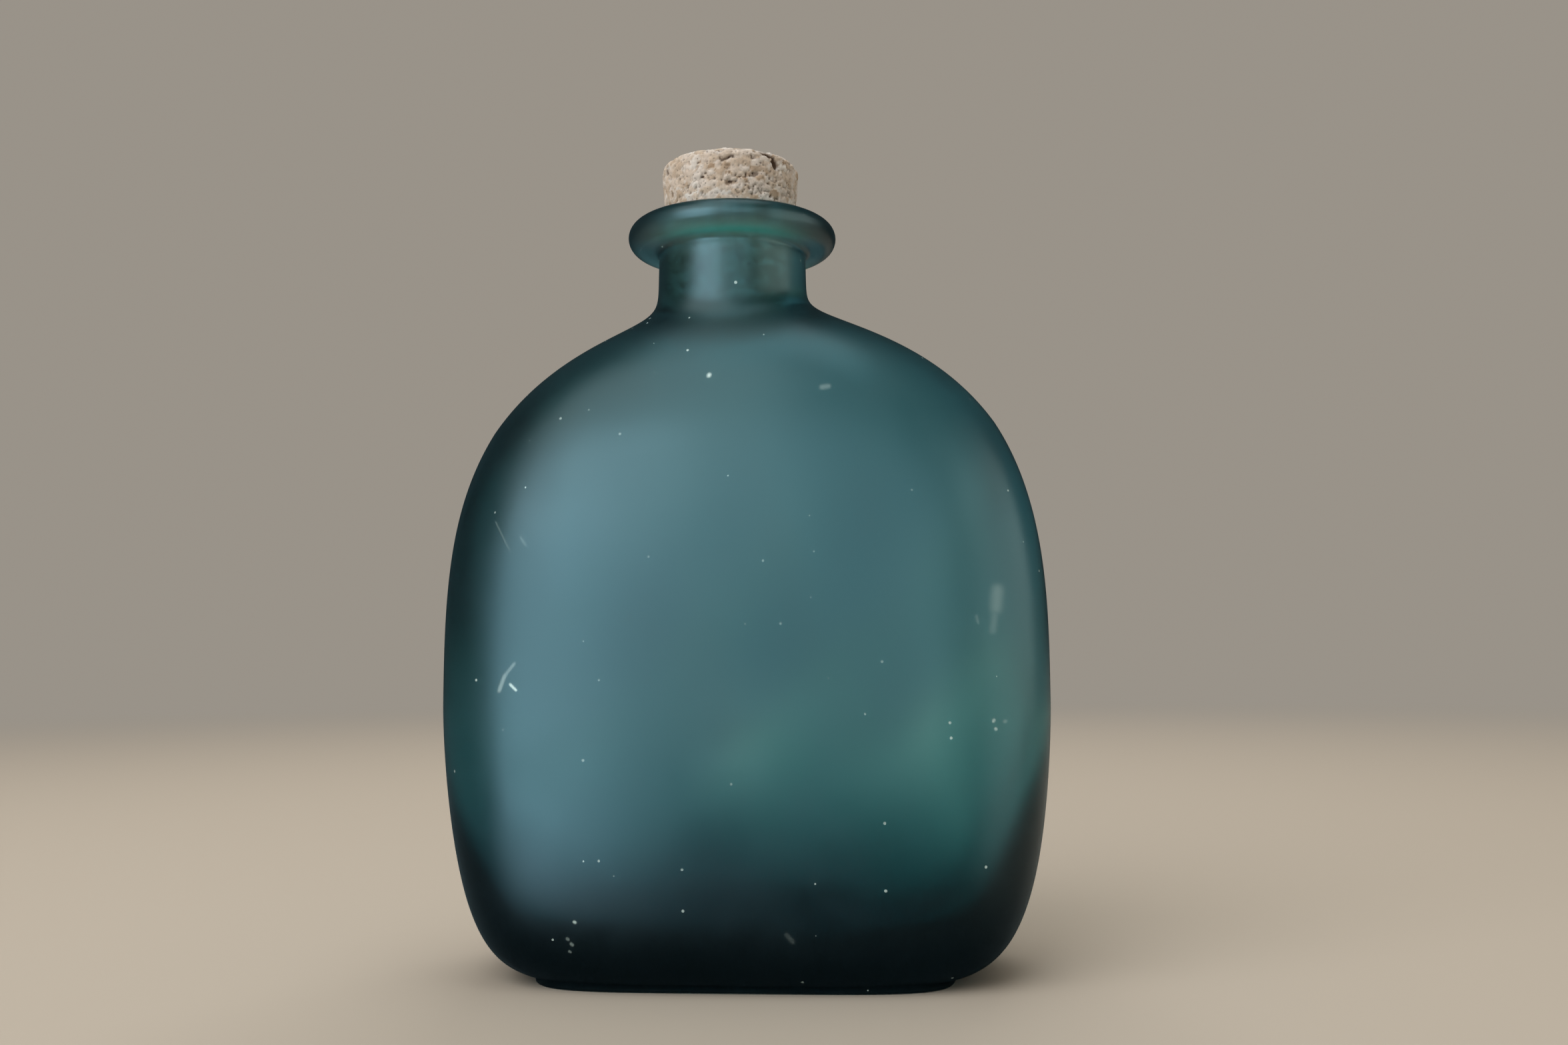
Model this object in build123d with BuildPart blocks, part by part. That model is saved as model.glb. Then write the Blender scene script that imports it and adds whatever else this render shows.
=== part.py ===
from build123d import *

import math
import os

# A blown-glass flask with two flat faces, closed by a tapered cork.
# Millimetres, +Z up. The origin is on the ground under the middle of the body,
# +X runs along the wide side and the front face looks towards -Y.

# Driving dimensions of the glass
body_width = 131.4
body_depth = 66.0
waist_height = 58.0  # where the body is widest
crown_height = 145.8  # where the shoulders would close if there were no neck
wall = 3.0
floor_thickness = 9.0
heel_thickening = 0.53  # below 1 the room inside closes in sooner than the outside does
foot_width = 89.0
foot_depth = 48.4
foot_height = 1.8
bearing_width = 8.0  # the ring of the foot that touches the ground
push_up_height = 2.4  # depth of the hollow under the base

neck_shift = -3.0  # the neck stands a little to the left of the body's middle
neck_radius = 16.7
neck_flare = 0.6  # how much wider the neck is at its root than under the lip
neck_root = 130.0
lip_radius = 23.7
lip_thickness = 6.3
glass_height = 165.8
bore_shift = -0.4  # the bore runs a little off the neck's middle

shoulder_fillet = 8.5
inner_shoulder_fillet = 3.0
inner_floor_fillet = 4.0
lip_root_fillet = 1.2
mouth_fillet = 1.2
foot_fillet = 0.6

# Driving dimensions of the cork
cork_top_radius = 15.85
cork_length = 34.4
cork_stand = 13.8  # length of cork above the lip
cork_taper = 4.0  # degrees between the cork's side and its axis
cork_clearance = 0.1
cork_top_fillet = 1.8
cork_bottom_fillet = 0.8

# Shape of the body's sections: an exponent of 2 is an oval, a larger one is squarer
ring_points = 32
lower_sections = 9
upper_sections = 14
waist_exponent = 3.5
crown_exponent = 2.0
base_exponent = 4.0
foot_exponent = 5.0
push_up_shares = (0, 0.3, 0.6, 0.85, 0.97)

# Sizes worked out from the ones above
bead_radius = lip_thickness / 2
lip_underside = glass_height - lip_thickness
cork_top = glass_height + cork_stand
cork_bottom = cork_top - cork_length
taper_slope = math.tan(math.radians(cork_taper))
neck_plane = Plane((neck_shift, 0, 0), x_dir=(1, 0, 0), z_dir=(0, -1, 0))
neck_axis = Axis((neck_shift, 0, 0), (0, 0, 1))
bore_plane = Plane((neck_shift + bore_shift, 0, 0), x_dir=(1, 0, 0), z_dir=(0, -1, 0))
bore_axis = Axis((neck_shift + bore_shift, 0, 0), (0, 0, 1))


def cork_radius(height):
    """Radius of the cork's tapered side at a height."""
    return cork_top_radius - taper_slope * (cork_top - height)


def superellipse(height, half_width, half_depth, exponent):
    """A closed smooth section at a height."""
    ring = []
    for step in range(ring_points):
        turn = 2 * math.pi * (0.25 + step / ring_points)
        across, along = math.cos(turn), math.sin(turn)
        reach = (abs(across) ** exponent + abs(along) ** exponent) ** (-1 / exponent)
        ring.append((half_width * reach * across, half_depth * reach * along))
    with BuildSketch(Plane.XY.offset(height)) as section:
        with BuildLine():
            Spline(*ring, periodic=True)
        make_face()
    return section.sketch


def flask_size(height, bottom, crown, heel):
    """Width share, depth share and exponent of the flask's section at a height."""
    if height > waist_height:
        rise = (height - waist_height) / (crown - waist_height)
        exponent = waist_exponent + (crown_exponent - waist_exponent) * rise**2
        return (1 - rise**3.2) ** (1 / 2.1), (1 - rise**3) ** (1 / 3), exponent
    drop = (waist_height - height) / (waist_height - bottom)
    exponent = waist_exponent + (base_exponent - waist_exponent) * drop**3
    left = 1 - drop**1.6
    return left ** (1 / (9.5 * heel)), left ** (1 / (10.5 * heel)), exponent


def flask_sections(inset, first, crown, heel=1.0):
    """Sections of a flask inset by a distance, closer together where the form turns."""
    bottom = first - foot_height
    heights = []
    for step in range(lower_sections):
        heights.append(first + (step / lower_sections) ** 2 * (waist_height - first))
    for step in range(upper_sections):
        heights.append(crown - (1 - step / upper_sections) ** 2 * (crown - waist_height))
    sections = []
    for height in heights:
        width_share, depth_share, exponent = flask_size(height, bottom, crown, heel)
        half_width = (body_width / 2 - inset) * width_share
        half_depth = (body_depth / 2 - inset) * depth_share
        sections.append(superellipse(height, half_width, half_depth, exponent))
    return sections


def foot_section(height, inset=0.0, share=1.0):
    """Section of the foot at a height, moved inwards by inset and then scaled."""
    half_width = share * (foot_width / 2 - inset)
    half_depth = share * (foot_depth / 2 - inset)
    return superellipse(height, half_width, half_depth, foot_exponent)


# The room inside the bottle, with the tapered bore of the neck
with BuildPart() as hollow:
    loft(sections=flask_sections(wall, floor_thickness, crown_height - wall, heel_thickening))
    with BuildSketch(bore_plane):
        with BuildLine():
            Polyline(
                (0, neck_root),
                (cork_radius(neck_root) + cork_clearance, neck_root),
                (cork_radius(glass_height) + cork_clearance, glass_height),
                (0, glass_height),
                close=True,
            )
        make_face()
    revolve(axis=bore_axis)
    bore = hollow.faces().filter_by(GeomType.CONE)[0]
    fillet(bore.edges().filter_by(GeomType.BSPLINE), inner_shoulder_fillet)
    fillet(hollow.faces().sort_by(Axis.Z)[0].edges(), inner_floor_fillet)

# The hollow under the base, a shallow bowl
with BuildPart() as push_up:
    bowl = []
    for share in push_up_shares:
        bowl.append(foot_section(push_up_height * share, bearing_width, math.sqrt(1 - share)))
    loft(sections=bowl)

# The bottle: one piece of glass
with BuildPart() as bottle:
    loft(sections=flask_sections(0, foot_height, crown_height))

    # neck and lip
    with BuildSketch(neck_plane):
        with BuildLine():
            lip_lower_edge = (lip_radius - bead_radius, lip_underside)
            lip_upper_edge = (lip_radius - bead_radius, glass_height)
            Polyline(
                (0, neck_root),
                (neck_radius + neck_flare, neck_root),
                (neck_radius, lip_underside),
                lip_lower_edge,
            )
            ThreePointArc(lip_lower_edge, (lip_radius, lip_underside + bead_radius), lip_upper_edge)
            Polyline(lip_upper_edge, (0, glass_height), (0, neck_root))
        make_face()
    revolve(axis=neck_axis)
    neck = bottle.faces().filter_by(GeomType.CONE)[0]
    fillet(neck.edges().filter_by(GeomType.BSPLINE), shoulder_fillet)
    neck = bottle.faces().filter_by(GeomType.CONE)[0]
    fillet(neck.edges().filter_by(GeomType.CIRCLE), lip_root_fillet)

    # foot, rounded where it meets the ground
    extrude(foot_section(0), amount=foot_height)
    fillet(bottle.faces().sort_by(Axis.Z)[0].edges(), foot_fillet)

    # openings, then the rounded rim of the mouth
    add(hollow.part, mode=Mode.SUBTRACT)
    add(push_up.part, mode=Mode.SUBTRACT)
    mouth = bottle.faces().filter_by(Axis.Z).sort_by(Axis.Z)[-1].inner_wires()
    fillet(mouth.edges(), mouth_fillet)
bottle.part.label = "bottle"

# The cork: one tapered stopper of pressed cork grains
with BuildPart() as cork:
    with BuildSketch(bore_plane):
        with BuildLine():
            Polyline(
                (0, cork_bottom),
                (cork_radius(cork_bottom), cork_bottom),
                (cork_top_radius, cork_top),
                (0, cork_top),
                close=True,
            )
        make_face()
    revolve(axis=bore_axis)
    fillet(cork.edges().group_by(Axis.Z)[-1], cork_top_fillet)
    fillet(cork.edges().group_by(Axis.Z)[0], cork_bottom_fillet)
cork.part.label = "cork"

os.makedirs("parts", exist_ok=True)
export_step(bottle.part, "parts/bottle.step")
export_step(cork.part, "parts/cork.step")
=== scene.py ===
import math

import bpy
import numpy as np
from mathutils import Matrix, Vector, kdtree, noise


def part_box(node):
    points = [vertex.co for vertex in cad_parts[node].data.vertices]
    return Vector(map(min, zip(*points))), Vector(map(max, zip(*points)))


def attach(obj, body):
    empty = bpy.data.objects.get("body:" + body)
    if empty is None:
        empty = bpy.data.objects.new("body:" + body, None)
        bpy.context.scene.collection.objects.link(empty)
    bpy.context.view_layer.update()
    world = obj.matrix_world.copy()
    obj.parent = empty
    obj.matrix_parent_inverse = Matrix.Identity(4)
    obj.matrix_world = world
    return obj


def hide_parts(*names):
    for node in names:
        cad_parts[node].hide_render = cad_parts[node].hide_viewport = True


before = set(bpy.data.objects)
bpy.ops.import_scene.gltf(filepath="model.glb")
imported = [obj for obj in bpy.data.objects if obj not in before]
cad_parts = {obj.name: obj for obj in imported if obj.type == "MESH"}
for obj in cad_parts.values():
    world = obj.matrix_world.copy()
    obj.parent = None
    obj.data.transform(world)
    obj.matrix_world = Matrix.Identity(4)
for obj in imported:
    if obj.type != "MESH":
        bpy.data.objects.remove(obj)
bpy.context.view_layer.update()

glass_low, glass_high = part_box("bottle")
cork_low, cork_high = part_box("cork")
MM = 0.001

# Sizes of the glass, in metres. Widths and heights come from the frame.
HALF_WIDTH = (glass_high.x - glass_low.x) / 2
HALF_DEPTH = (glass_high.y - glass_low.y) / 2
GLASS_TOP = glass_high.z
CROWN = GLASS_TOP - 20 * MM  # where the shoulders would close if there were no neck
WAIST = 58 * MM  # where the body is widest
WALL = 3 * MM
FLOOR_THICKNESS = 9 * MM
FOOT_HALF_WIDTH = 44.5 * MM
FOOT_HALF_DEPTH = 24.2 * MM
FOOT_HEIGHT = 1.8 * MM
FOOT_ROUND = 0.6 * MM
BEARING_WIDTH = 8 * MM  # the ring of the foot that touches the ground
PUSH_UP = 2.4 * MM  # depth of the hollow under the base
BORE_X = (cork_low.x + cork_high.x) / 2
NECK_X = BORE_X + 0.4 * MM
NECK_RADIUS = 16.7 * MM
NECK_SLOPE = 0.6 / 29.5  # how much the neck widens downwards
LIP_RADIUS = 23.7 * MM
LIP_THICKNESS = 6.3 * MM
LIP_UNDERSIDE = GLASS_TOP - LIP_THICKNESS
LIP_ROOT_ROUND = 1.5 * MM
MOUTH_ROUND = 1.2 * MM

# Shape of the body's sections: a squareness of 2 is an oval, a larger one is squarer
CROWN_SQUARENESS = 2.0
WAIST_SQUARENESS = 3.5
BASE_SQUARENESS = 4.0
FOOT_SQUARENESS = 5.0
SHOULDER_WIDTH_CURVE = (3.2, 2.1)
SHOULDER_DEPTH_CURVE = (3, 3)
HEEL_CURVE = 1.6
HEEL_WIDTH_CURVE = 9.5
HEEL_DEPTH_CURVE = 10.5
HEEL_THICKENING = 0.53  # below 1 the room inside closes in sooner than the outside

# The inner surface bulges inwards low in the middle of each face
BASE_BULGE = 0.16  # share of the depth
BASE_BULGE_TOP = 48 * MM
BASE_BULGE_REACH = 46 * MM
BASE_BULGE_CURVE = 1.5

# Unevenness of the glass: seed, length of the waves, flatness and height of the waves
OUTER_WAVE = (5, 55 * MM, 0.6, 0.13 * MM)
INNER_WAVES = ((8, 24 * MM, 0.2, 0.38 * MM), (3, 13 * MM, 0.15, 0.05 * MM))
WAVE_FADE_LOW = 0.2  # share of the rows over which the waves fade in
WAVE_FADE_HIGH = 0.35
WAVE_SINES = 8

# Rows and columns of points
COLUMNS = 240
PUSH_UP_ROWS = 16
BEARING_SHARES = (0.35, 0.7)
OUTER_ROWS = 140
INNER_ROWS = 120
ROW_SPACING = 1.6  # above 1 the upper rows lie closer towards the neck
NECK_ROWS = 26
FLOOR_ROWS = 16
MIDDLE_SHARE = 0.02  # size of the smallest ring, which a fan closes
# Rows before and after a corner that are rounded together, and how many times
SHOULDER_BLEND = (34, 18, 90)
INNER_SHOULDER_BLEND = (24, 14, 40)
INNER_FLOOR_BLEND = (3, 22, 40)

# Painted glow at the root of the lip, where the glass is made cloudier and bright teal, counted in rows
# from the lip's first one, and a painted line of light at the foot's edge
LIP_GLOW_ROWS = (-5, 22)
LIP_GLOW_PEAK = 8
LIP_GLOW_SPREAD = 6.5
FOOT_GLOW = 0.28
FOOT_GLOW_ROWS = 2

# Sizes of the cork, in metres
CORK_TOP = cork_high.z
CORK_BOTTOM = cork_low.z
CORK_TOP_RADIUS = 15.85 * MM
CORK_TOP_ROUND = 1.8 * MM
CORK_BOTTOM_ROUND = 0.8 * MM
CORK_TAPER = math.tan(math.radians(4.0))
CORK_MIDDLE = 0.2 * MM  # radius of the smallest ring, which a fan closes
BORE_GAP = 0.1 * MM
CORK_COLUMNS = 300

# Relief of the cork, in mm
GRAIN_SEED = 31
GRAIN_SIZE = 1.8
GRAIN_FLATNESS = 1.5  # grains lie flat: this much wider than they are tall
GRAIN_BENDS = ((0.45, 0.8), (0.2, 2.2))  # reach and fineness of the noise that bends their edges
SUNK_GRAIN = 0.10  # the most that a grain lies below the others
MISSING_GRAIN = 0.5  # depth of the hollow where a grain has fallen out
MISSING_SHARE = 0.03
GROOVE_WIDTH = 0.20
GROOVE_DEPTH = 0.05
GAP_DEPTH = 0.30  # the most that a badly filled groove is deeper
PORE_DEPTH = 0.40
PORE_FROM = 0.37  # noise above this makes a pore
PORE_EDGE = 0.12
WEAR = 0.05
RIM_WEAR_REACH = 2.2
RIM_WAVE = (12, 5.0, 1, 0.5)
# Deep marks near the front: start and end (azimuth in degrees, mm below the top), width, depth
CORK_MARKS = (
    ((45, 2.5), (47, 3.4), 0.9, 1.3),  # pit
    ((-1, 3.3), (8, 2.3), 0.5, 0.7),  # slit
    ((29, 0.2), (45, 1.7), 0.55, 0.6),  # cracked stretch of the rim
)
RUSTY_PATCH = ((40, 0.5), (62, 0.8), 2.2, 0.3)
# Painted shade: the cork is darker where it sits inside the neck, growing over a fade in mm
NECK_SHADE = 0.42
NECK_SHADE_FROM = 1  # mm below the top of the glass
NECK_SHADE_FADE = 10

# Marks on the front of the glass, and a painted highlight: start and end (x, z), soft width, all in mm,
# then strength
MARKS_AND_GLINT = (
    # scratch and white stroke on the left
    ((-48.1, 61.2), (-46.9, 64.2), 0.75, 0.36),
    ((-46.9, 64.2), (-44.8, 66.6), 0.60, 0.25),
    ((-45.6, 62.4), (-44.4, 61.3), 0.50, 1.00),
    # bright speck and bubble under the neck
    ((-5.2, 126.0), (-5.1, 126.2), 0.75, 1.00),
    ((18.4, 123.0), (19.6, 123.2), 1.00, 0.20),
    # soft painted highlight where the glass glints by the right edge, and dots
    ((53.4, 80.6), (53.0, 77.2), 2.20, 0.18),
    ((52.9, 77.0), (52.2, 72.6), 1.30, 0.11),
    ((48.9, 75.4), (49.2, 74.2), 0.60, 0.10),
    ((52.0, 54.7), (51.9, 54.5), 0.55, 0.60),
    ((52.3, 53.0), (52.4, 52.9), 0.50, 0.70),
    ((54.2, 54.4), (54.4, 54.4), 0.60, 0.20),
    # dots low on the left, and a faint smear low in the middle
    ((-33.9, 11.6), (-33.7, 11.5), 0.50, 0.30),
    ((-33.1, 10.6), (-32.9, 10.4), 0.55, 0.32),
    ((-33.6, 9.0), (-33.4, 8.9), 0.45, 0.26),
    ((-32.3, 15.1), (-32.1, 15.0), 0.50, 0.80),
    ((10.4, 12.9), (11.5, 11.6), 0.80, 0.07),
    # faint strokes high on the left
    ((-50.0, 96.0), (-46.5, 90.0), 0.35, 0.10),
    ((-44.0, 92.5), (-43.0, 91.0), 0.60, 0.10),
)
DUST = ((0.12, 0.060), (0.30, 0.100))  # fineness, size of the largest speck

# Stage, in metres
FLOOR_REACH = 8
FLOOR_SPLIT = -0.07  # the floor in front of this line isn't mirrored in the glass
BACKGROUND = (0.32, 0.29, 0.25)
LIGHTS_AIM = (0, 0, 0.08)

# Camera
SENSOR_WIDTH = 36
LENS = 31.48
CAMERA_PLACE = (0.0300, -0.3062, 0.0688)
CAMERA_PAN = 4.04  # degrees to the left
CAMERA_TILT = 5.35  # degrees upwards
CAMERA_ROLL = -0.46


# ---------------------------------------------------------------- rows of points
def arc(centre, radius, start, end, count):
    """Points (radius, height) on an arc, angles in degrees."""
    angles = np.radians(np.linspace(start, end, count))
    return [(centre[0] + radius * math.cos(a), centre[1] + radius * math.sin(a)) for a in angles]


def straight(start, end, count):
    """Points (radius, height) on a line, both ends included."""
    return [tuple(p) for p in np.linspace(start, end, count)]


def turned_rows(profile, angle, axis_x):
    """Rows turned about an upright axis from (radius, height) pairs."""
    profile = np.array(profile)
    radius, height = profile[:, :1], profile[:, 1:]
    x = axis_x + radius * np.cos(angle)
    y = radius * np.sin(angle)
    return np.stack([x, y, np.broadcast_to(height, x.shape)], -1)


def ripple(points, seed, size, flatness, amplitude):
    """A smooth random wave over points: a few sines in random directions.
    A flatness near 0 makes the wave change mostly sideways, not with height."""
    rng = np.random.default_rng(seed)
    total = np.zeros(points.shape[:-1])
    for _ in range(WAVE_SINES):
        heading = rng.normal(size=3) * [1, 1, flatness]
        heading /= np.linalg.norm(heading)
        length = size * rng.uniform(0.7, 1.7)
        total += np.sin(2 * np.pi * (points @ heading) / length + rng.uniform(0, 2 * np.pi))
    return amplitude * total / 2


def soften(rows, corner, blend):
    """Rounds the corner that the rows make at a row number, like a fillet."""
    before, after, rounds = blend
    low, high = corner - before, corner + after
    rows = rows.copy()
    span = np.arange(low + 1, high)
    weight = np.sin(np.pi * (span - low) / (high - low))[:, None, None] * 0.5
    for _ in range(rounds):
        middle = (rows[span - 1] + rows[span + 1]) / 2
        rows[span] += weight * (middle - rows[span])
    return rows


def mesh_from_rows(name, rows, marks):
    """A closed mesh of quads between the rows, with a fan at each end.
    Marks are numbers per point, kept with the mesh for its material."""
    count, columns = rows.shape[:2]
    points = rows.reshape(-1, 3)
    verts = np.vstack([points, rows[0].mean(0), rows[-1].mean(0)])
    faces = []
    for r in range(count - 1):
        start = r * columns
        for c in range(columns):
            d = (c + 1) % columns
            faces.append((start + c, start + d, start + columns + d, start + columns + c))
    last = (count - 1) * columns
    for c in range(columns):
        d = (c + 1) % columns
        faces.append((len(points), d, c))
        faces.append((len(points) + 1, last + c, last + d))
    mesh = bpy.data.meshes.new(name)
    mesh.from_pydata(verts.tolist(), [], faces)
    for mark, values in marks.items():
        values = np.append(values.ravel(), [values[0].mean(), values[-1].mean()])
        mesh.attributes.new(mark, "FLOAT", "POINT").data.foreach_set("value", values)
    place = mesh.attributes.new("place", "FLOAT_VECTOR", "POINT")
    place.data.foreach_set("vector", (verts / MM).ravel())
    mesh.shade_smooth()
    mesh.update()
    thing = bpy.data.objects.new(name, mesh)
    bpy.context.scene.collection.objects.link(thing)
    return thing


# ---------------------------------------------------------------- glass shape
def shares(height, bottom, crown, heel):
    """Width share, depth share and squareness of the body's section at heights."""
    rise = np.clip((height - WAIST) / (crown - WAIST), 0, 1)
    drop = np.clip((WAIST - height) / (WAIST - bottom), 0, 1)
    above = height > WAIST
    left = 1 - drop**HEEL_CURVE
    inner, outer = SHOULDER_WIDTH_CURVE
    width = np.where(above, (1 - rise**inner) ** (1 / outer), left ** (1 / (HEEL_WIDTH_CURVE * heel)))
    inner, outer = SHOULDER_DEPTH_CURVE
    depth = np.where(above, (1 - rise**inner) ** (1 / outer), left ** (1 / (HEEL_DEPTH_CURVE * heel)))
    upper = WAIST_SQUARENESS + (CROWN_SQUARENESS - WAIST_SQUARENESS) * rise**2
    lower = WAIST_SQUARENESS + (BASE_SQUARENESS - WAIST_SQUARENESS) * drop**3
    return width, depth, np.where(above, upper, lower)


def oval(half_width, half_depth, square, height):
    """Rows of points round superellipses, one column per turn angle."""
    turn = 2 * np.pi * np.arange(COLUMNS) / COLUMNS
    across, along = np.cos(turn), np.sin(turn)
    reach = (np.abs(across) ** square + np.abs(along) ** square) ** (-1 / square)
    x = half_width * reach * across
    y = half_depth * reach * along
    return np.stack([x, y, np.broadcast_to(height, x.shape)], -1)


def foot_oval(inset, height, share=1.0):
    """One row of the foot, moved inwards by inset and then scaled."""
    half_width = (FOOT_HALF_WIDTH - inset) * share
    half_depth = (FOOT_HALF_DEPTH - inset) * share
    return oval(half_width, half_depth, FOOT_SQUARENESS, height)


def body_points(height, inset, bottom, crown, heel):
    """Points of the body's wall at heights given per column, shape (..., COLUMNS)."""
    width, depth, square = shares(height, bottom, crown, heel)
    return oval((HALF_WIDTH - inset) * width, (HALF_DEPTH - inset) * depth, square, height)


def neck_meeting(inset, bottom, crown, neck_x, neck_radius):
    """Height at which each column of the body meets the neck, by halving."""
    low = np.full(COLUMNS, WAIST)
    high = np.full(COLUMNS, crown - 0.01 * MM)
    for _ in range(40):
        middle = (low + high) / 2
        point = body_points(middle, inset, bottom, crown, 1)
        outside = np.hypot(point[:, 0] - neck_x, point[:, 1]) > neck_radius(middle)
        low = np.where(outside, middle, low)
        high = np.where(outside, high, middle)
    return low


def body_rows(inset, first, crown, heel, neck_x, neck_radius, count):
    """Rows of the body from its lowest section up to the neck, closer near both ends."""
    bottom = first - FOOT_HEIGHT
    top = neck_meeting(inset, bottom, crown, neck_x, neck_radius)
    step = np.linspace(0, 1, count // 2)[:, None]
    lower = first + step[:-1] ** 2 * (WAIST - first) + np.zeros(COLUMNS)
    upper = WAIST + (1 - (1 - step) ** ROW_SPACING) * (top - WAIST)
    return body_points(np.vstack([lower, upper]), inset, bottom, crown, heel)


def swell(rows, amount):
    """Moves rows of the body sideways by amount, fading out at the first and last row."""
    outward = rows * [1 / HALF_WIDTH**2, 1 / HALF_DEPTH**2, 0]
    outward /= np.linalg.norm(outward, axis=-1, keepdims=True)
    step = np.linspace(0, 1, len(rows))[:, None]
    fade = np.clip(np.minimum(step / WAVE_FADE_LOW, (1 - step) / WAVE_FADE_HIGH), 0, 1)
    fade = fade**2 * (3 - 2 * fade)
    return rows + outward * (amount * fade)[..., None]


def outer_neck_radius(height):
    return NECK_RADIUS + NECK_SLOPE * (LIP_UNDERSIDE - height)


def bore_radius(height):
    return CORK_TOP_RADIUS - CORK_TAPER * (CORK_TOP - height) + BORE_GAP


def foot_rows():
    """Bowl of the push-up, bearing ring, rounded edge and wall of the foot."""
    rows = []
    for share in np.linspace(MIDDLE_SHARE, 1, PUSH_UP_ROWS):
        rows.append(foot_oval(BEARING_WIDTH, PUSH_UP * (1 - share**2), share))
    for share in BEARING_SHARES:
        rows.append(foot_oval(BEARING_WIDTH * (1 - share), 0))
    for angle in np.radians([0, 30, 60, 90]):
        rows.append(foot_oval(FOOT_ROUND * (1 - math.sin(angle)), FOOT_ROUND * (1 - math.cos(angle))))
    rows.append(foot_oval(0, FOOT_HEIGHT - 0.1 * MM))
    return np.array(rows)


def outside_rows():
    """Rows from under the base up to the lip, and the angle of each column round the neck."""
    foot = foot_rows()
    body = body_rows(0, FOOT_HEIGHT, CROWN, 1, NECK_X, outer_neck_radius, OUTER_ROWS)
    body = swell(body, ripple(body, *OUTER_WAVE))
    angle = np.arctan2(body[-1, :, 1], body[-1, :, 0] - NECK_X)
    share = np.linspace(0, 1, NECK_ROWS)[1:, None]
    height = body[-1, :, 2] + share * (LIP_UNDERSIDE - LIP_ROOT_ROUND - body[-1, :, 2])
    radius = outer_neck_radius(height)
    neck = np.stack([NECK_X + radius * np.cos(angle), radius * np.sin(angle), height], -1)
    rows = np.concatenate([foot, body, neck])
    return soften(rows, len(foot) + len(body), SHOULDER_BLEND), angle


def lip_rows(angle):
    """Rows from the lip's root over its bead and its flat top to the rounded rim of the mouth."""
    bead = LIP_THICKNESS / 2
    mouth = bore_radius(GLASS_TOP)
    root = (NECK_RADIUS + LIP_ROOT_ROUND, LIP_UNDERSIDE - LIP_ROOT_ROUND)
    lip = arc(root, LIP_ROOT_ROUND, 180, 90, 8)[1:]
    lip += straight(lip[-1], (LIP_RADIUS - bead, LIP_UNDERSIDE), 5)[1:]
    lip += arc((LIP_RADIUS - bead, LIP_UNDERSIDE + bead), bead, -90, 90, 19)[1:]
    lip = turned_rows(lip, angle, NECK_X)
    rim = arc((mouth + MOUTH_ROUND, GLASS_TOP - MOUTH_ROUND), MOUTH_ROUND, 90, 180, 7)
    rim = turned_rows(rim, angle, BORE_X)
    share = np.linspace(0, 1, 8)[1:-1, None, None]
    top = lip[-1] + share * (rim[0] - lip[-1])
    return np.concatenate([lip, top, rim])


def inside_rows(angle):
    """Rows of the inner surface, from the middle of the floor up the body and the bore."""
    crown = CROWN - WALL
    inner = body_rows(WALL, FLOOR_THICKNESS, crown, HEEL_THICKENING, BORE_X, bore_radius, INNER_ROWS)
    inner = swell(inner, sum(ripple(inner, *wave) for wave in INNER_WAVES))
    low = np.clip((BASE_BULGE_TOP - inner[..., 2]) / (BASE_BULGE_TOP - FLOOR_THICKNESS), 0, 1)
    middle = np.clip(1 - (inner[..., 0] / BASE_BULGE_REACH) ** 2, 0, 1)
    inner[..., 1] *= 1 - BASE_BULGE * low**BASE_BULGE_CURVE * middle

    inner_angle = np.arctan2(inner[-1, :, 1], inner[-1, :, 0] - BORE_X)
    share = np.linspace(0, 1, NECK_ROWS)[1:-1, None]
    height = inner[-1, :, 2] + share * (GLASS_TOP - MOUTH_ROUND - inner[-1, :, 2])
    radius = bore_radius(height)
    turn = inner_angle + share * (angle - inner_angle)
    bore = np.stack([BORE_X + radius * np.cos(turn), radius * np.sin(turn), height], -1)

    floor = np.array([inner[0] * [s, s, 1] for s in np.linspace(MIDDLE_SHARE, 0.97, FLOOR_ROWS)])
    rows = np.concatenate([floor, inner, bore])
    rows = soften(rows, len(floor) + len(inner), INNER_SHOULDER_BLEND)
    return soften(rows, len(floor), INNER_FLOOR_BLEND)


def glass_rows():
    """All rows of the bottle's surface, from under the base round the lip to the floor inside,
    and the marks its material needs: the inner surface, and where the glass is cloudier and carries a
    painted glow."""
    outside, angle = outside_rows()
    lip = lip_rows(angle)
    rows = np.concatenate([outside, lip, inside_rows(angle)[::-1]])
    inside = np.zeros(rows.shape[:2])
    inside[len(outside) + len(lip) :] = 1

    # the cloudier glass and its painted glow are strongest on the front and the back
    turn = 2 * np.pi * np.arange(COLUMNS) / COLUMNS
    across = np.abs(np.sin(turn)) ** 3
    cloud_and_glow = np.zeros(rows.shape[:2])
    first, end = LIP_GLOW_ROWS
    lip_glow = np.exp(-(((np.arange(first, end) - LIP_GLOW_PEAK) / LIP_GLOW_SPREAD) ** 2))
    cloud_and_glow[len(outside) + first : len(outside) + end] = lip_glow[:, None] * across
    # a painted line of light along the foot's edge
    foot_edge = PUSH_UP_ROWS + len(BEARING_SHARES)
    cloud_and_glow[foot_edge : foot_edge + FOOT_GLOW_ROWS] = FOOT_GLOW * across
    return rows, {"inside": inside, "cloud_and_glow": cloud_and_glow}


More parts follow.
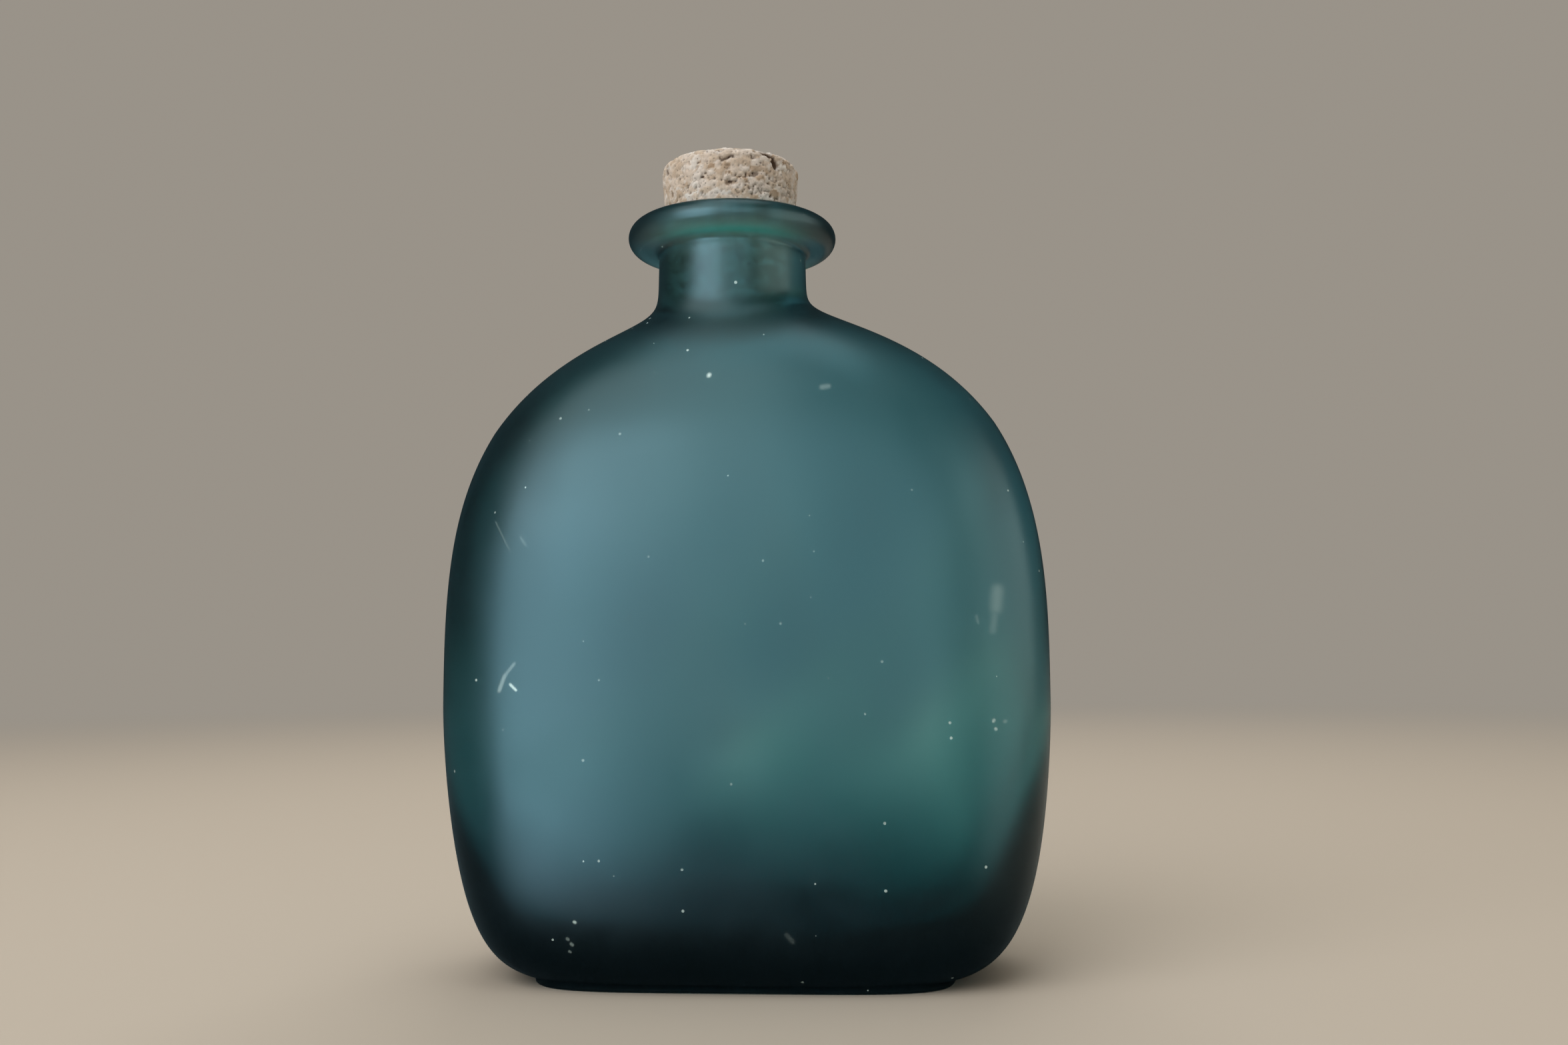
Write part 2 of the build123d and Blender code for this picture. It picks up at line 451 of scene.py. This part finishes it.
# ---------------------------------------------------------------- cork shape
def cork_profile():
    """(radius, height) pairs from the middle of the bottom, up the side, to the middle of the top."""
    tilt = math.atan(CORK_TAPER)
    low = CORK_BOTTOM + CORK_BOTTOM_ROUND
    high = CORK_TOP - CORK_TOP_ROUND
    low_centre = bore_radius(low) - BORE_GAP - CORK_BOTTOM_ROUND / math.cos(tilt)
    high_centre = bore_radius(high) - BORE_GAP - CORK_TOP_ROUND / math.cos(tilt)
    bottom = arc((low_centre, low), CORK_BOTTOM_ROUND, -90, -math.degrees(tilt), 5)
    top = arc((high_centre, high), CORK_TOP_ROUND, -math.degrees(tilt), 90, 11)
    profile = straight((CORK_MIDDLE, CORK_BOTTOM), bottom[0], 26)
    profile += bottom[1:]
    profile += straight(bottom[-1], top[0], 90)[1:]
    profile += top[1:]
    profile += straight(top[-1], (CORK_MIDDLE, CORK_TOP), 46)[1:]
    return np.array(profile)


def outward_normals(profile, angle):
    """Normals of the surface that a profile makes when it is turned."""
    run = np.gradient(profile, axis=0)
    run /= np.linalg.norm(run, axis=1, keepdims=True)
    out_r, out_z = run[:, 1:], -run[:, :1]
    return np.stack([out_r * np.cos(angle), out_r * np.sin(angle), out_z + 0 * angle], -1)


def on_cork_side(azimuth, below):
    """A point on the cork's side in mm, azimuth from the front, so far below the top."""
    turn = math.radians(azimuth)
    radius = (CORK_TOP_RADIUS - CORK_TAPER * below * MM) / MM
    x = BORE_X / MM + radius * math.sin(turn)
    return np.array([x, -radius * math.cos(turn), CORK_TOP / MM - below])


def near_line(points, start, end, width):
    """1 on a line between two points on the cork's side, falling to 0 at a distance of width."""
    start = on_cork_side(*start)
    along = on_cork_side(*end) - start
    share = np.clip(((points - start) @ along) / max(along @ along, 1e-9), 0, 1)
    gap = np.linalg.norm(points - start - share[..., None] * along, axis=-1)
    return np.clip(1 - gap / width, 0, 1)


def cork_grains(points):
    """Depth in mm and tone at points in mm: each belongs to the nearest of many scattered seeds."""
    noise.seed_set(GRAIN_SEED)  # otherwise noise_vector differs from run to run
    rng = np.random.default_rng(GRAIN_SEED)
    low = np.array([BORE_X / MM - 17, -17, (CORK_BOTTOM / MM - 1) * GRAIN_FLATNESS])
    high = np.array([BORE_X / MM + 17, 17, (CORK_TOP / MM + 1) * GRAIN_FLATNESS])
    seeds = rng.uniform(low, high, (int(np.prod(high - low) / GRAIN_SIZE**3), 3))
    tone = rng.uniform(0, 1, len(seeds))
    sunk = rng.uniform(0, SUNK_GRAIN, len(seeds))
    gap = rng.uniform(0, 1, len(seeds)) ** 2
    missing = np.where(rng.uniform(0, 1, len(seeds)) < MISSING_SHARE, MISSING_GRAIN, 0)
    tree = kdtree.KDTree(len(seeds))
    for number, seed in enumerate(seeds):
        tree.insert(seed, number)
    tree.balance()

    depth = np.zeros(len(points))
    shade = np.zeros(len(points))
    for number, point in enumerate(points):
        place = Vector(point)
        bent = place
        for reach, fineness in GRAIN_BENDS:
            bent = bent + reach * noise.noise_vector(place * fineness)
        bent.z *= GRAIN_FLATNESS
        (_, one, near), (_, two, far) = tree.find_n(bent, 2)
        edge = far - near
        groove = math.exp(-((edge / GROOVE_WIDTH) ** 2))
        groove *= GROOVE_DEPTH + GAP_DEPTH * max(gap[one], gap[two])
        hollow = missing[one] * min(edge / 0.5, 1)
        pore = min(max((noise.noise(place * 1.5) - PORE_FROM) / PORE_EDGE, 0), 1) * PORE_DEPTH
        worn = WEAR * (1 + noise.noise(place * 0.5))
        depth[number] = sunk[one] + groove + hollow + pore + worn
        shade[number] = tone[one] + 0.25 * noise.noise(place * 0.16)
    return depth, shade


def cork_rows():
    """Rows of the cork's surface with its relief, and the marks its material needs."""
    profile = cork_profile()
    angle = np.linspace(0, 2 * np.pi, CORK_COLUMNS, endpoint=False)
    rows = turned_rows(profile, angle, BORE_X)
    normal = outward_normals(profile, angle)
    points = rows / MM
    depth, tone = cork_grains(points.reshape(-1, 3))
    depth = depth.reshape(rows.shape[:2])
    tone = tone.reshape(rows.shape[:2])

    for start, end, width, deepest in CORK_MARKS:
        depth += deepest * near_line(points, start, end, width)
    radius = np.hypot(points[..., 0] - BORE_X / MM, points[..., 1])
    from_rim = np.hypot(radius - CORK_TOP_RADIUS / MM, points[..., 2] - CORK_TOP / MM)
    depth += np.clip(1 - from_rim / RIM_WEAR_REACH, 0, 1) * np.clip(ripple(points, *RIM_WAVE), 0, 0.5)

    start, end, width, strength = RUSTY_PATCH
    tone -= strength * near_line(points, start, end, width)
    # painted shade on the cork inside the neck
    tone -= NECK_SHADE * np.clip((GLASS_TOP / MM - NECK_SHADE_FROM - points[..., 2]) / NECK_SHADE_FADE, 0, 1)
    return rows - normal * (depth * MM)[..., None], {"hollow": depth, "tone": tone}


# ---------------------------------------------------------------- material steps
def node(tree, kind, x, y, **values):
    made = tree.nodes.new(kind)
    made.location = (x, y)
    for key, value in values.items():
        if key in made.inputs:
            made.inputs[key].default_value = value
        else:
            setattr(made, key, value)
    return made


def new_material(name):
    material = bpy.data.materials.new(name)
    material.use_nodes = True
    material.node_tree.nodes.clear()
    return material, material.node_tree


def spread(tree, source, low, high, out_low, out_high, smooth=False):
    """Maps a value from one range to another, kept within it."""
    step = node(tree, "ShaderNodeMapRange", 0, 0)
    if smooth:
        step.interpolation_type = "SMOOTHSTEP"
    for key, value in (("From Min", low), ("From Max", high), ("To Min", out_low), ("To Max", out_high)):
        step.inputs[key].default_value = value
    tree.links.new(source, step.inputs["Value"])
    return step.outputs["Result"]


def combine(tree, operation, first, second):
    step = node(tree, "ShaderNodeMath", 0, 0, operation=operation)
    for socket, value in zip(step.inputs, (first, second)):
        if isinstance(value, (int, float)):
            socket.default_value = value
        else:
            tree.links.new(value, socket)
    return step.outputs[0]


def vector_step(tree, operation, first, second):
    step = node(tree, "ShaderNodeVectorMath", 0, 0, operation=operation)
    for socket, value in zip(step.inputs, (first, second)):
        if isinstance(value, tuple):
            socket.default_value = value
        else:
            tree.links.new(value, socket)
    return step


def scaled(tree, vector, factor):
    """A colour or vector times a number that another node gives."""
    step = vector_step(tree, "SCALE", vector, (0, 0, 0))
    tree.links.new(factor, step.inputs["Scale"])
    return step.outputs[0]


def stroke(tree, flat, start, end, width, strength):
    """Mask of a soft line between two points (x, z) in mm, seen along Y."""
    start, end = Vector((start[0], 0, start[1])), Vector((end[0], 0, end[1]))
    along = end - start
    offset = vector_step(tree, "SUBTRACT", flat, tuple(start)).outputs[0]
    dot = vector_step(tree, "DOT_PRODUCT", offset, tuple(along / along.length_squared)).outputs["Value"]
    share = spread(tree, dot, 0, 1, 0, 1)
    gap = vector_step(tree, "SUBTRACT", offset, scaled(tree, tuple(along), share)).outputs[0]
    distance = vector_step(tree, "LENGTH", gap, (0, 0, 0)).outputs["Value"]
    return spread(tree, distance, 0, width, strength, 0, smooth=True)


def dust_mask(tree, place, mask):
    """Adds scattered specks of dust, of different sizes and brightness, to a mask."""
    for fineness, largest in DUST:
        dust = node(tree, "ShaderNodeTexVoronoi", -1200, 300, Scale=fineness)
        tree.links.new(place, dust.inputs["Vector"])
        rank = node(tree, "ShaderNodeSeparateColor", -1000, 300)
        tree.links.new(dust.outputs["Color"], rank.inputs[0])
        radius = spread(tree, rank.outputs[0], 0.55, 1.0, 0.0, largest)
        speck = combine(tree, "LESS_THAN", dust.outputs["Distance"], radius)
        brightness = spread(tree, rank.outputs[1], 0, 1, 0.15, 0.80)
        mask = combine(tree, "MAXIMUM", mask, combine(tree, "MULTIPLY", speck, brightness))
    return mask


# ---------------------------------------------------------------- materials
def glass_material():
    material, tree = new_material("frosted_glass")
    out = node(tree, "ShaderNodeOutputMaterial", 600, 0)
    shader = node(tree, "ShaderNodeBsdfPrincipled", 200, 0)
    shader.inputs["IOR"].default_value = 1.5
    shader.inputs["Specular Tint"].default_value = (0.64, 0.93, 1.0, 1)
    place = node(tree, "ShaderNodeAttribute", -1500, 0, attribute_name="place").outputs["Vector"]
    inside = node(tree, "ShaderNodeAttribute", -1500, -200, attribute_name="inside").outputs["Fac"]
    cloud_and_glow = node(tree, "ShaderNodeAttribute", -1500, -400, attribute_name="cloud_and_glow").outputs["Fac"]

    # the etched outside is rough in slightly uneven patches, the inside is nearly smooth
    patches = node(tree, "ShaderNodeTexNoise", -1200, -200, Scale=0.07, Detail=4.0, Roughness=0.6)
    tree.links.new(place, patches.inputs["Vector"])
    etched = spread(tree, patches.outputs["Fac"], 0.3, 0.7, 0.30, 0.38)
    smooth = combine(tree, "MULTIPLY", inside, -0.22)
    tree.links.new(combine(tree, "ADD", etched, smooth), shader.inputs["Roughness"])
    grain = node(tree, "ShaderNodeTexNoise", -1200, -500, Scale=2.2, Detail=3.0, Roughness=0.7)
    tree.links.new(place, grain.inputs["Vector"])
    bump = node(tree, "ShaderNodeBump", -200, -500, Strength=0.35, Distance=0.02 * MM)
    tree.links.new(grain.outputs["Fac"], bump.inputs["Height"])
    tree.links.new(bump.outputs[0], shader.inputs["Normal"])

    # marks and a painted highlight on the front, and dust all round, on the outside only
    flat = vector_step(tree, "MULTIPLY", place, (1, 0, 1)).outputs[0]
    split = node(tree, "ShaderNodeSeparateXYZ", -1200, 100)
    tree.links.new(place, split.inputs[0])
    front = combine(tree, "LESS_THAN", split.outputs["Y"], 0.0)
    mask = 0.0
    for mark in MARKS_AND_GLINT:
        mask = combine(tree, "MAXIMUM", mask, stroke(tree, flat, *mark))
    mask = combine(tree, "MULTIPLY", mask, front)
    mask = dust_mask(tree, place, mask)
    mask = combine(tree, "MULTIPLY", mask, combine(tree, "SUBTRACT", 1.0, inside))

    # marks, dust and the painted highlight, and the cloudier glass with its painted glow, let less light
    # through
    solid = combine(tree, "MAXIMUM", mask, combine(tree, "MULTIPLY", cloud_and_glow, 0.50))
    tree.links.new(combine(tree, "SUBTRACT", 1.0, solid), shader.inputs["Transmission Weight"])
    # the cloudier places take a bright teal: painted glow, strongest at the lip's root
    tint = node(tree, "ShaderNodeMix", -200, 200, data_type="RGBA")
    tree.links.new(cloud_and_glow, tint.inputs["Factor"])
    tint.inputs["A"].default_value = (0.70, 0.93, 0.94, 1)
    tint.inputs["B"].default_value = (0.15, 0.86, 0.79, 1)
    tree.links.new(tint.outputs["Result"], shader.inputs["Base Color"])

    # the colour of the glass itself: thick places are darker
    volume = node(tree, "ShaderNodeVolumeAbsorption", 200, -400)
    volume.inputs["Color"].default_value = (0.0, 0.5, 0.56, 1)
    volume.inputs["Density"].default_value = 240
    tree.links.new(shader.outputs[0], out.inputs["Surface"])
    tree.links.new(volume.outputs[0], out.inputs["Volume"])
    return material


def cork_material():
    material, tree = new_material("cork")
    out = node(tree, "ShaderNodeOutputMaterial", 900, 0)
    shader = node(tree, "ShaderNodeBsdfPrincipled", 600, 0)
    shader.inputs["Roughness"].default_value = 0.88
    shader.inputs["Specular IOR Level"].default_value = 0.25
    place = node(tree, "ShaderNodeAttribute", -900, -300, attribute_name="place").outputs["Vector"]
    tone = node(tree, "ShaderNodeAttribute", -900, 200, attribute_name="tone").outputs["Fac"]
    hollow = node(tree, "ShaderNodeAttribute", -900, 0, attribute_name="hollow").outputs["Fac"]

    # each grain has its own tone, from rusty brown to nearly white, and the part inside the neck is
    # darkened as painted shade
    ramp = node(tree, "ShaderNodeValToRGB", -600, 200)
    stops = ramp.color_ramp.elements
    stops[0].color = (0.50, 0.37, 0.26, 1)
    stops[1].color = (0.93, 0.90, 0.86, 1)
    stops.new(0.07).color = (0.63, 0.50, 0.38, 1)
    stops.new(0.25).color = (0.74, 0.63, 0.52, 1)
    stops.new(0.7).color = (0.83, 0.75, 0.68, 1)
    tree.links.new(tone, ramp.inputs["Fac"])

    # fine mottling within the grains
    mottle = node(tree, "ShaderNodeTexNoise", -600, -100, Scale=1.6, Detail=5.0, Roughness=0.65)
    tree.links.new(place, mottle.inputs["Vector"])
    lightness = spread(tree, mottle.outputs["Fac"], 0.3, 0.7, 0.80, 1.12)
    mottled = scaled(tree, ramp.outputs["Color"], lightness)

    # dark pores, the cork's own colour, and painted shade in the hollows and cracks, darker the deeper
    # they are
    pores = node(tree, "ShaderNodeTexVoronoi", -600, -350, Scale=0.9)
    tree.links.new(place, pores.inputs["Vector"])
    pore_dark = spread(tree, pores.outputs["Distance"], 0.08, 0.22, 0.6, 0)
    dark = combine(tree, "MAXIMUM", pore_dark, spread(tree, hollow, 0.24, 0.75, 0, 1))
    colour = node(tree, "ShaderNodeMix", 200, 100, data_type="RGBA")
    tree.links.new(dark, colour.inputs["Factor"])
    tree.links.new(mottled, colour.inputs["A"])
    colour.inputs["B"].default_value = (0.10, 0.055, 0.03, 1)
    tree.links.new(colour.outputs["Result"], shader.inputs["Base Color"])

    grit = node(tree, "ShaderNodeTexNoise", -200, -700, Scale=4.0, Detail=4.0, Roughness=0.6)
    tree.links.new(place, grit.inputs["Vector"])
    bump = node(tree, "ShaderNodeBump", 300, -500, Strength=0.5, Distance=0.15 * MM)
    tree.links.new(grit.outputs["Fac"], bump.inputs["Height"])
    tree.links.new(bump.outputs[0], shader.inputs["Normal"])
    tree.links.new(shader.outputs[0], out.inputs["Surface"])
    return material


def floor_material():
    """Plain and pale, fading into the background far away. The glass mirrors it with painted shade,
    less of it on the right, and shows it through with painted shade on the left."""
    material, tree = new_material("floor")
    out = node(tree, "ShaderNodeOutputMaterial", 600, 0)
    shader = node(tree, "ShaderNodeBsdfPrincipled", 100, 0)
    shader.inputs["Roughness"].default_value = 0.8
    shader.inputs["Specular IOR Level"].default_value = 0
    path = node(tree, "ShaderNodeLightPath", -800, 200)
    position = node(tree, "ShaderNodeNewGeometry", -800, -200).outputs["Position"]
    split = node(tree, "ShaderNodeSeparateXYZ", -600, -300)
    tree.links.new(position, split.inputs[0])

    # rays that went through rough glass count as glossy too: taken off again, least on the left
    clear = spread(tree, split.outputs["X"], -0.06, 0.06, 0.30, 1)
    kept = combine(tree, "MULTIPLY", path.outputs["Is Transmission Ray"], clear)
    painted_shade = combine(tree, "SUBTRACT", path.outputs["Is Glossy Ray"], kept)
    to_the_right = spread(tree, split.outputs["X"], 0.05, 0.14, 1, 0.4)
    painted_shade = combine(tree, "MULTIPLY", painted_shade, to_the_right)
    # painted shade: the floor turns this dark colour where the glass mirrors it or shows it
    colour = node(tree, "ShaderNodeMix", -200, 0, data_type="RGBA")
    tree.links.new(painted_shade, colour.inputs["Factor"])
    colour.inputs["A"].default_value = (0.60, 0.54, 0.46, 1)
    colour.inputs["B"].default_value = (0.10, 0.14, 0.16, 1)
    tree.links.new(colour.outputs["Result"], shader.inputs["Base Color"])

    distance = vector_step(tree, "LENGTH", position, (0, 0, 0)).outputs["Value"]
    far = spread(tree, distance, 0.35, 1.6, 0, 1, smooth=True)
    glow = node(tree, "ShaderNodeEmission", 100, -300, Color=(*BACKGROUND, 1), Strength=1)
    mix = node(tree, "ShaderNodeMixShader", 400, 0)
    tree.links.new(combine(tree, "MULTIPLY", far, path.outputs["Is Camera Ray"]), mix.inputs[0])
    tree.links.new(shader.outputs[0], mix.inputs[1])
    tree.links.new(glow.outputs[0], mix.inputs[2])
    tree.links.new(mix.outputs[0], out.inputs["Surface"])
    return material


# ---------------------------------------------------------------- pieces
def piece(name, body, rows, marks, material):
    """A visual piece that rides a body and stands in for its CAD node."""
    thing = mesh_from_rows(name, rows, marks)
    thing.data.materials.append(material)
    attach(thing, body)
    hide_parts(body)


# ---------------------------------------------------------------- stage
def floor_part(name, front, back, material):
    """A strip of floor between two distances along Y."""
    mesh = bpy.data.meshes.new(name)
    side = FLOOR_REACH
    corners = [(-side, front, 0), (side, front, 0), (side, back, 0), (-side, back, 0)]
    mesh.from_pydata(corners, [], [(0, 1, 2, 3)])
    part = bpy.data.objects.new(name, mesh)
    part.data.materials.append(material)
    bpy.context.scene.collection.objects.link(part)
    return part


def build_floor():
    """The floor, whose front part the camera sees but the glass doesn't mirror."""
    pale = floor_material()
    floor_part("floor", FLOOR_SPLIT, FLOOR_REACH, pale)
    front = floor_part("floor_front", -FLOOR_REACH, FLOOR_SPLIT, pale)
    front.visible_glossy = False
    front.visible_shadow = False


def studio_world():
    """One plain background to the camera; other, dimmer light for what the glass mirrors or shows."""
    world = bpy.data.worlds.new("studio")
    world.use_nodes = True
    tree = world.node_tree
    tree.nodes.clear()
    out = node(tree, "ShaderNodeOutputWorld", 600, 0)
    shown = node(tree, "ShaderNodeBackground", 0, 150, Color=(*BACKGROUND, 1))
    mirrored = node(tree, "ShaderNodeBackground", 0, -300, Color=(0.022, 0.031, 0.035, 1))
    through = node(tree, "ShaderNodeBackground", 0, -150, Color=(0.36, 0.36, 0.36, 1))

    # through the glass it's brightest behind, above and to the right, and dark to the left
    direction = node(tree, "ShaderNodeTexCoord", -900, -300)
    split = node(tree, "ShaderNodeSeparateXYZ", -700, -300)
    tree.links.new(direction.outputs["Generated"], split.inputs[0])
    strength = spread(tree, split.outputs["X"], -0.9, 1, -0.36, 0.45)
    for axis, amount in (("Y", 0.46), ("Z", 0.32)):
        strength = combine(tree, "ADD", strength, spread(tree, split.outputs[axis], 0, 1, 0, amount))
    strength = combine(tree, "MAXIMUM", strength, 0.02)
    to_the_left = spread(tree, split.outputs["X"], -0.8, -0.15, 0.3, 1)
    strength = combine(tree, "MULTIPLY", strength, to_the_left)
    tree.links.new(strength, through.inputs["Strength"])

    path = node(tree, "ShaderNodeLightPath", -300, 0)
    glassy = node(tree, "ShaderNodeMixShader", 200, -200)
    tree.links.new(path.outputs["Is Transmission Ray"], glassy.inputs[0])
    tree.links.new(mirrored.outputs[0], glassy.inputs[1])
    tree.links.new(through.outputs[0], glassy.inputs[2])
    mix = node(tree, "ShaderNodeMixShader", 400, 0)
    tree.links.new(path.outputs["Is Glossy Ray"], mix.inputs[0])
    tree.links.new(shown.outputs[0], mix.inputs[1])
    tree.links.new(glassy.outputs[0], mix.inputs[2])
    tree.links.new(mix.outputs[0], out.inputs["Surface"])
    return world


def soft_box(name, azimuth, elevation, distance, size, brightness, colour, reach):
    """A flat light that faces the bottle; azimuth 0 is in front, positive to the right.
    Reach names the kinds of rays that see the light."""
    a, e = math.radians(azimuth), math.radians(elevation)
    aim = Vector(LIGHTS_AIM)
    place = aim + distance * Vector((math.sin(a) * math.cos(e), -math.cos(a) * math.cos(e), math.sin(e)))
    data = bpy.data.lights.new(name, "AREA")
    data.shape = "RECTANGLE"
    data.size, data.size_y = size
    data.energy = brightness * math.pi * size[0] * size[1]
    data.color = colour
    light = bpy.data.objects.new(name, data)
    light.location = place
    light.rotation_euler = (aim - place).to_track_quat("-Z", "Y").to_euler()
    light.visible_camera = False
    light.visible_diffuse = "diffuse" in reach
    light.visible_glossy = "glossy" in reach
    light.visible_transmission = "transmission" in reach
    bpy.context.scene.collection.objects.link(light)


def build_lights():
    # sheens: a window to the left, the room in front, a lit wall to the right, the ceiling
    soft_box("window_sheen", -34, 5, 1.3, (0.82, 1.35), 5.7, (0.69, 0.87, 1.0), "glossy")
    soft_box("room_sheen", 6, 15, 1.3, (1.15, 0.95), 2.2, (0.68, 0.93, 1.0), "glossy")
    soft_box("wall_sheen", 75, 6, 1.3, (1.4, 1.5), 1.75, (0.96, 1.0, 0.90), "glossy")
    soft_box("ceiling_sheen", 3, 52, 1.3, (0.6, 0.6), 0.9, (0.45, 0.94, 1.0), "glossy")
    # studio light
    soft_box("top", 0, 82, 0.8, (0.5, 0.5), 1.6, (0.92, 0.98, 1.0), "diffuse glossy transmission")
    soft_box("key", -34, 40, 1.6, (1.4, 1.4), 2.2, (1.0, 0.97, 0.95), "diffuse glossy")
    soft_box("back", 175, 50, 1.6, (1.2, 1.2), 1.4, (1.0, 0.98, 0.95), "diffuse")


def build_camera():
    data = bpy.data.cameras.new("camera")
    data.sensor_width = SENSOR_WIDTH
    data.lens = LENS
    data.clip_start = 0.01
    camera = bpy.data.objects.new("camera", data)
    pan = Matrix.Rotation(math.radians(CAMERA_PAN), 4, "Z")
    tilt = Matrix.Rotation(math.radians(90 + CAMERA_TILT), 4, "X")
    roll = Matrix.Rotation(math.radians(CAMERA_ROLL), 4, "Z")
    camera.matrix_world = Matrix.Translation(CAMERA_PLACE) @ (pan @ tilt) @ roll
    bpy.context.scene.collection.objects.link(camera)
    bpy.context.scene.camera = camera


rows, marks = glass_rows()
piece("bottle_glass", "bottle", rows, marks, glass_material())
rows, marks = cork_rows()
piece("cork_grain", "cork", rows, marks, cork_material())

build_floor()
bpy.context.scene.world = studio_world()
build_lights()
build_camera()
bpy.context.scene.view_settings.view_transform = "Standard"
